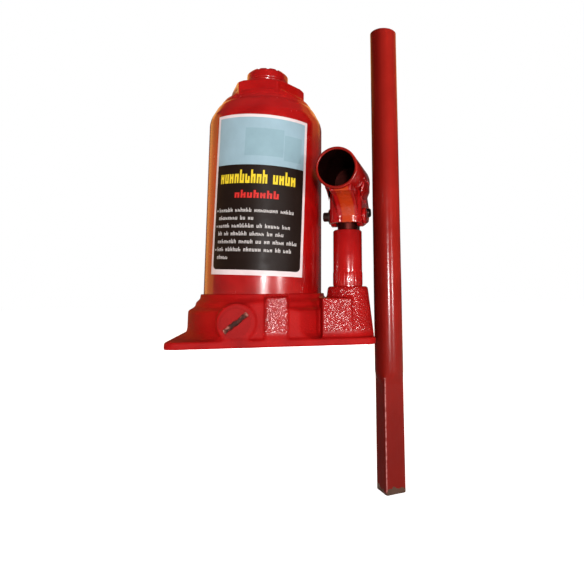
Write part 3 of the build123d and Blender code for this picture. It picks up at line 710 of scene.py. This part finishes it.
def make_forgings():
    """The valve's screw with its face worn back, the bracket with its drip, and the weld."""
    valve = soft_copy("release_valve", "valve_screw", 0.25 * MM, 14)
    roughen(valve, 0.25 * MM, 2.2 * MM)
    worn_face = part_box("release_valve")[0].y + VALVE_WEAR
    for vertex in valve.data.vertices:
        vertex.co.y = max(vertex.co.y, worn_face)
    paint(valve, valve_paint)
    stand_for(valve, "release_valve", "release_valve")

    yoke = soft_copy("clevis_bracket", "yoke", 0.35 * MM, 5)
    roughen(yoke, 0.14 * MM, 6 * MM)
    paint_run(yoke, -2.6 * MM, 0.8 * MM, 0.4 * MM)
    fit_to_box(yoke, *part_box("clevis_bracket"))
    paint(yoke, bracket_paint)
    stand_for(yoke, "lever", "clevis_bracket")

    beads = soft_copy("socket_weld", "weld_beads", 0.25 * MM, 12)
    roughen(beads, 0.14 * MM, 4 * MM)
    paint(beads, bracket_paint)
    stand_for(beads, "lever", "socket_weld")


# ---- handle socket -------------------------------------------------------------------------
SOCKET_END_WALL = 2 * MM
SHADED_RIM, PAINTED_MOUTH = 0.6 * MM, 1.2 * MM
PIN_RADIUS, PIN_HEAD, PIN_FLANK, PIN_TAIL = 2.4 * MM, 4.2 * MM, 8.2 * MM, 4.2 * MM
PIN_HEAD_THICKNESS = 1.6 * MM


def make_socket():
    """A short tube with rounded lips, closed at the back."""
    socket = mount("handle_socket")
    axis = Vector(socket["axis"])
    middle = Vector(socket["pos_m"])
    bore = socket["dims"]["r_mm"] * MM
    half = socket["dims"]["length_mm"] * MM / 2
    low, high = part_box("socket_tube")
    outer = (high.z - low.z) / 2
    outline = [
        (0, -half),
        (bore, -half),
        (bore, half),
        (outer, half),
        (outer, -half - SOCKET_END_WALL),
        (0, -half - SOCKET_END_WALL),
    ]
    tube = lathe("socket", round_points(outline, 0.5 * MM, 4), middle, axis, 96)
    paint(tube, socket_enamel)
    tube.data.materials.append(bore_shade.material)
    tube.data.materials.append(bar_paint.material)
    # Faces deep in the bore take bore_shade as painted shade; the rim takes the bar's darker enamel as painted
    # shade.
    for face in tube.data.polygons:
        reach = face.center - middle
        along = reach.dot(axis)
        if (reach - along * axis).length < bore + 0.2 * MM and along < half - PAINTED_MOUTH:
            face.material_index = 1
        elif along > half - SHADED_RIM:
            face.material_index = 2
    stand_for(tube, "lever", "socket_tube")


def make_pin():
    """The plunger's pin: its head, on the pump's right, was painted with the bracket."""
    side, middle = Vector(LEVER_SIDE), Vector(PIN_PLACE)
    outline = [
        (0, -PIN_FLANK - PIN_TAIL),
        (PIN_RADIUS, -PIN_FLANK - PIN_TAIL),
        (PIN_RADIUS, PIN_FLANK),
        (PIN_HEAD, PIN_FLANK),
        (PIN_HEAD, PIN_FLANK + PIN_HEAD_THICKNESS),
        (0, PIN_FLANK + PIN_HEAD_THICKNESS),
    ]
    pin = lathe("pin", round_points(outline, 0.5 * MM, 3), middle, side, 48)
    paint(pin, dark_steel)
    pin.data.materials.append(socket_enamel.material)
    for face in pin.data.polygons:
        if (face.center - middle).dot(side) > PIN_FLANK:
            face.material_index = 1
    fit_to_box(pin, *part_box("plunger_pin"))
    stand_for(pin, "lever", "plunger_pin")


# ---- pump ----------------------------------------------------------------------------------
PUMP_RADIUS, PUMP_BORE, PUMP_CHAMFER = 7.25 * MM, 5.05 * MM, 0.9 * MM
GRIP_LOW, GRIP_HIGH, TOOTH_HEIGHT = 27.6 * MM, 34.2 * MM, 0.16 * MM
TEETH = 28
PUMP_SEGMENTS = TEETH * 6


def pump_profile(low, high):
    """(radius, height, 1 where the teeth are) from the bore's foot, up outside, and back down it."""
    heights = [low, GRIP_LOW - 0.3 * MM, GRIP_LOW, GRIP_LOW + 0.5 * MM]
    heights += [GRIP_HIGH - 0.5 * MM, GRIP_HIGH, GRIP_HIGH + 0.3 * MM, high - PUMP_CHAMFER]
    profile = [(PUMP_BORE, low, 0)]
    profile += [(PUMP_RADIUS, z, 1 if GRIP_LOW < z < GRIP_HIGH else 0) for z in heights]
    profile += [(PUMP_RADIUS - PUMP_CHAMFER / 3, high - PUMP_CHAMFER / 3, 0)]
    profile += [(PUMP_RADIUS - PUMP_CHAMFER, high, 0)]
    return profile + [(PUMP_BORE, high, 0), (PUMP_BORE, low, 0)]


def make_pump():
    """The pump's tube with a serrated grip just above the casting."""
    low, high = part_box("pump_cylinder")
    middle = centre("pump_cylinder")
    build = bmesh.new()
    rings = []
    for radius, z, grip in pump_profile(low.z, high.z):
        ring = []
        for k in range(PUMP_SEGMENTS):
            tooth = abs((k * TEETH / PUMP_SEGMENTS) % 1 - 0.5) * 2
            r = radius + grip * TOOTH_HEIGHT * min(1, 1.6 * tooth)
            angle = tau * k / PUMP_SEGMENTS
            ring.append(build.verts.new((middle.x + r * cos(angle), middle.y + r * sin(angle), z)))
        rings.append(ring)
    skin(build, rings)
    tube = object_from("pump_tube", build, 30)
    paint(tube, red_enamel)
    stand_for(tube, "jack_body", "pump_cylinder")


# ---- extension screw -----------------------------------------------------------------------
THREAD_PITCH, THREAD_DEPTH = 3 * MM, 1.3 * MM
PEG_RADIUS = 5 * MM
THREAD_SEGMENTS = 72
RUN_IN, RUN_OUT = 2 * MM, 5 * MM


def thread_ring(build, z, root, fade):
    """One level of the thread; fade is 1 where it has its full depth and 0 where it has none."""
    ring = []
    for k in range(THREAD_SEGMENTS):
        phase = (z / THREAD_PITCH - k / THREAD_SEGMENTS) % 1
        r = root + THREAD_DEPTH * min(max(2.2 - abs(phase - 0.5) * 6.4, 0), 1) * fade
        angle = tau * k / THREAD_SEGMENTS
        ring.append(build.verts.new((r * cos(angle), r * sin(angle), z)))
    return ring


def make_screw():
    """A real helical thread, rising 3 mm a turn, with a plain peg for the saddle."""
    low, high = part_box("extension_screw")
    root = high.x - THREAD_DEPTH
    shank_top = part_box("saddle")[0].z - 0.3 * MM
    step = THREAD_PITCH / 10
    build = bmesh.new()
    rings = []
    for i in range(int((shank_top - low.z) / step) + 1):
        z = low.z + i * step
        fade = max(min(1, (z - low.z) / RUN_IN, (shank_top - z) / RUN_OUT), 0)
        rings.append(thread_ring(build, z, root, fade))
    rings += [thread_ring(build, z, PEG_RADIUS, 0) for z in (shank_top, high.z - 0.4 * MM)]
    skin(build, rings)
    build.faces.new(rings[0])
    build.faces.new(rings[-1])
    screw = object_from("threaded_screw", build, 50)
    paint(screw, ground_steel)
    stand_for(screw, "extension_screw", "extension_screw")


# ---- handle bar ----------------------------------------------------------------------------
BAR_WALL, BAR_HALF_SQUARE, BAR_CORNER = 1.6 * MM, 5.5 * MM, 1.2 * MM
BAR_LIP, BAR_DENT = 0.3 * MM, 0.06 * MM


def square_section(half, corner, turn):
    """Angle and reach of the points of a square with rounded corners."""
    points = []
    for side in range(4):
        quarter = Matrix.Rotation(turn + side * tau / 4, 2)
        core = half - corner
        points += [quarter @ Vector((half, core * (i / 4 - 1))) for i in range(8)]
        arc = [tau / 4 * i / 12 for i in range(13)]
        points += [quarter @ Vector((core + corner * cos(a), core + corner * sin(a))) for a in arc]
    return [(atan2(point.y, point.x), point.length) for point in points]


def bar_levels(low, high):
    """(height, inset) from the foot up outside, and back down the bore."""
    square_top, neck_top = low + BAR_SQUARE, low + BAR_SQUARE + BAR_NECK
    outside = [(low, BAR_LIP), (low + BAR_LIP, 0)]
    outside += [(low + BAR_LIP + (BAR_SQUARE - BAR_LIP) * i / 12, 0) for i in range(1, 13)]
    outside += [(square_top + BAR_NECK * i / 12, 0) for i in range(1, 13)]
    outside += [(neck_top + (high - BAR_LIP - neck_top) * i / 24, 0) for i in range(1, 25)]
    outside += [(high, BAR_LIP)]
    return outside + [(z, BAR_WALL) for z, inset in reversed(outside)]


def make_bar():
    """A tube whose lower end is pressed square; both ends are open."""
    low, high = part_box("handle_bar")
    middle = centre("handle_bar")
    radius = (high.x - low.x) / 2
    section = square_section(BAR_HALF_SQUARE, BAR_CORNER, BAR_TURN)
    build = bmesh.new()
    rings = []
    for z, inset in bar_levels(low.z, high.z):
        blend = min(max((z - low.z - BAR_SQUARE) / BAR_NECK, 0), 1)
        blend = blend * blend * (3 - 2 * blend)
        dent = BAR_DENT * (noise.noise(Vector((z / (9 * MM), 0, 3))) - 1) if inset < BAR_WALL else 0
        ring = []
        for angle, flat in section:
            r = flat + (radius - flat) * blend - inset + dent
            ring.append(build.verts.new((middle.x + r * cos(angle), middle.y + r * sin(angle), z)))
        rings.append(ring)
    skin(build, rings, closed=True)
    bar = object_from("bar", build, 40)
    paint(bar, bar_paint)
    stand_for(bar, "handle_bar", "handle_bar")


make_reservoir()
make_label()
make_castings()
make_forgings()
make_socket()
make_pin()
make_pump()
make_screw()
make_bar()


# ---- camera, lights and stage --------------------------------------------------------------
CAMERA_PLACE = (0, -0.2662, 0.025)
CAMERA_YAW, CAMERA_PITCH, CAMERA_ROLL = radians(10.77), radians(8.71), radians(-0.56)
LENS_MM, SHIFT_X, SHIFT_Y = 30.44, -0.113, -0.132
LIT_PLACE = (0.02, 0, 0.07)
WHITE = (1, 1, 1, 1)
STEP_MARGIN = 4 * MM


def make_camera():
    """Low in front of the jack, looking a little up and to the right."""
    yaw, pitch, roll = CAMERA_YAW, CAMERA_PITCH, CAMERA_ROLL
    forward = Vector((sin(yaw) * cos(pitch), cos(yaw) * cos(pitch), sin(pitch)))
    right = Vector((cos(yaw), -sin(yaw), 0))
    up = right.cross(forward)
    right, up = cos(roll) * right + sin(roll) * up, -sin(roll) * right + cos(roll) * up
    data = bpy.data.cameras.new("camera")
    data.lens = LENS_MM
    data.shift_x = SHIFT_X
    data.shift_y = SHIFT_Y
    data.clip_start = 10 * MM
    camera = bpy.data.objects.new("camera", data)
    turn = Matrix((right, up, -forward)).transposed().to_4x4()
    camera.matrix_world = Matrix.Translation(CAMERA_PLACE) @ turn
    bpy.context.scene.collection.objects.link(camera)
    bpy.context.scene.camera = camera


def area_light(name, place, width, height, power, colour=(1, 1, 1), mirrored=True):
    """A rectangular lamp that points at the jack; the camera doesn't see it."""
    data = bpy.data.lights.new(name, "AREA")
    data.shape = "RECTANGLE"
    data.size = width
    data.size_y = height
    data.energy = power
    data.color = colour
    light = bpy.data.objects.new(name, data)
    light.location = place
    light.rotation_euler = (Vector(LIT_PLACE) - Vector(place)).to_track_quat("-Z", "Y").to_euler()
    light.visible_glossy = mirrored
    light.visible_camera = False
    bpy.context.scene.collection.objects.link(light)


def make_lights():
    """Two small lamps near the camera's height, a soft overhead, and warm light from behind."""
    area_light("lamp_front", (0.0, -0.9, 0.03), 0.055, 0.09, 6)
    area_light("lamp_right", (0.44, -0.78, 0.03), 0.04, 0.09, 2.2)
    area_light("overhead", (0, -0.2, 1.5), 1.6, 1.6, 8, mirrored=False)
    area_light("warm_left", (-0.8, 0.68, 0.2), 0.8, 1.0, 3.2, (1.0, 0.42, 0.06))
    area_light("warm_right", (0.85, 0.6, 0.8), 0.8, 0.7, 1.6, (1.0, 0.36, 0.05))
    area_light("warm_back", (0.0, 1.0, 0.85), 1.4, 0.5, 3.0, (1.0, 0.42, 0.08))


def make_world():
    """A dim room for the light, and plain white where the camera looks past the floor."""
    world = bpy.data.worlds.new("world")
    world.use_nodes = True
    tree = world.node_tree
    room = tree.nodes["Background"]
    room.inputs["Color"].default_value = (1, 0.97, 0.95, 1)
    room.inputs["Strength"].default_value = 0.08
    backdrop = tree.nodes.new("ShaderNodeBackground")
    backdrop.inputs["Color"].default_value = WHITE
    backdrop.inputs["Strength"].default_value = 1.0
    ray = tree.nodes.new("ShaderNodeLightPath")
    mixer = tree.nodes.new("ShaderNodeMixShader")
    tree.links.new(ray.outputs["Is Camera Ray"], mixer.inputs["Fac"])
    tree.links.new(room.outputs["Background"], mixer.inputs[1])
    tree.links.new(backdrop.outputs["Background"], mixer.inputs[2])
    tree.links.new(mixer.outputs["Shader"], tree.nodes["World Output"].inputs["Surface"])
    bpy.context.scene.world = world
    bpy.context.scene.view_settings.view_transform = "Standard"


def stage_finish():
    """Pale and matt; the camera sees it nearly white without its light falling on the jack."""
    stone = Finish("pale_stage", Roughness=0.8, Specular_IOR_Level=0.0)
    stone.shader.inputs["Emission Color"].default_value = WHITE
    seen = stone.tree.nodes.new("ShaderNodeLightPath").outputs["Is Camera Ray"]
    stone.set(
        Emission_Strength=stone.math("MULTIPLY", seen, 0.95),
        Base_Color=stone.ramp(stone.noise(8, 2), (0.3, 0.86), (0.7, 0.9)),
    )
    return stone


def make_step(floor_height):
    """A block under the jack's foot; its right side stays out of the camera's way to the bar."""
    foot_low, foot_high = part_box("base_casting")
    bar_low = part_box("handle_bar")[0]
    sight = (foot_low.y - CAMERA_PLACE[1]) / (bar_low.y - CAMERA_PLACE[1])
    low = Vector((foot_low.x - STEP_MARGIN, foot_low.y + STEP_MARGIN, floor_height))
    right, back = bar_low.x * sight - STEP_MARGIN, foot_high.y + 10 * STEP_MARGIN
    high = Vector((right, back, foot_low.z - 0.02 * MM))
    build = bmesh.new()
    bmesh.ops.create_cube(build, size=1)
    for vertex in build.verts:
        vertex.co = Vector([low[i] if vertex.co[i] < 0 else high[i] for i in range(3)])
    return object_from("step", build)


def make_stage():
    """A pale floor level with the bar's tip, and a pale step under the jack."""
    floor_height = cad_box[0][2]
    build = bmesh.new()
    bmesh.ops.create_grid(build, x_segments=8, y_segments=8, size=3)
    bmesh.ops.translate(build, vec=(0, 0, floor_height), verts=build.verts)
    staged = [object_from("floor", build), make_step(floor_height)]
    stone = stage_finish()
    for piece in staged:
        paint(piece, stone)


make_camera()
make_lights()
make_world()
make_stage()
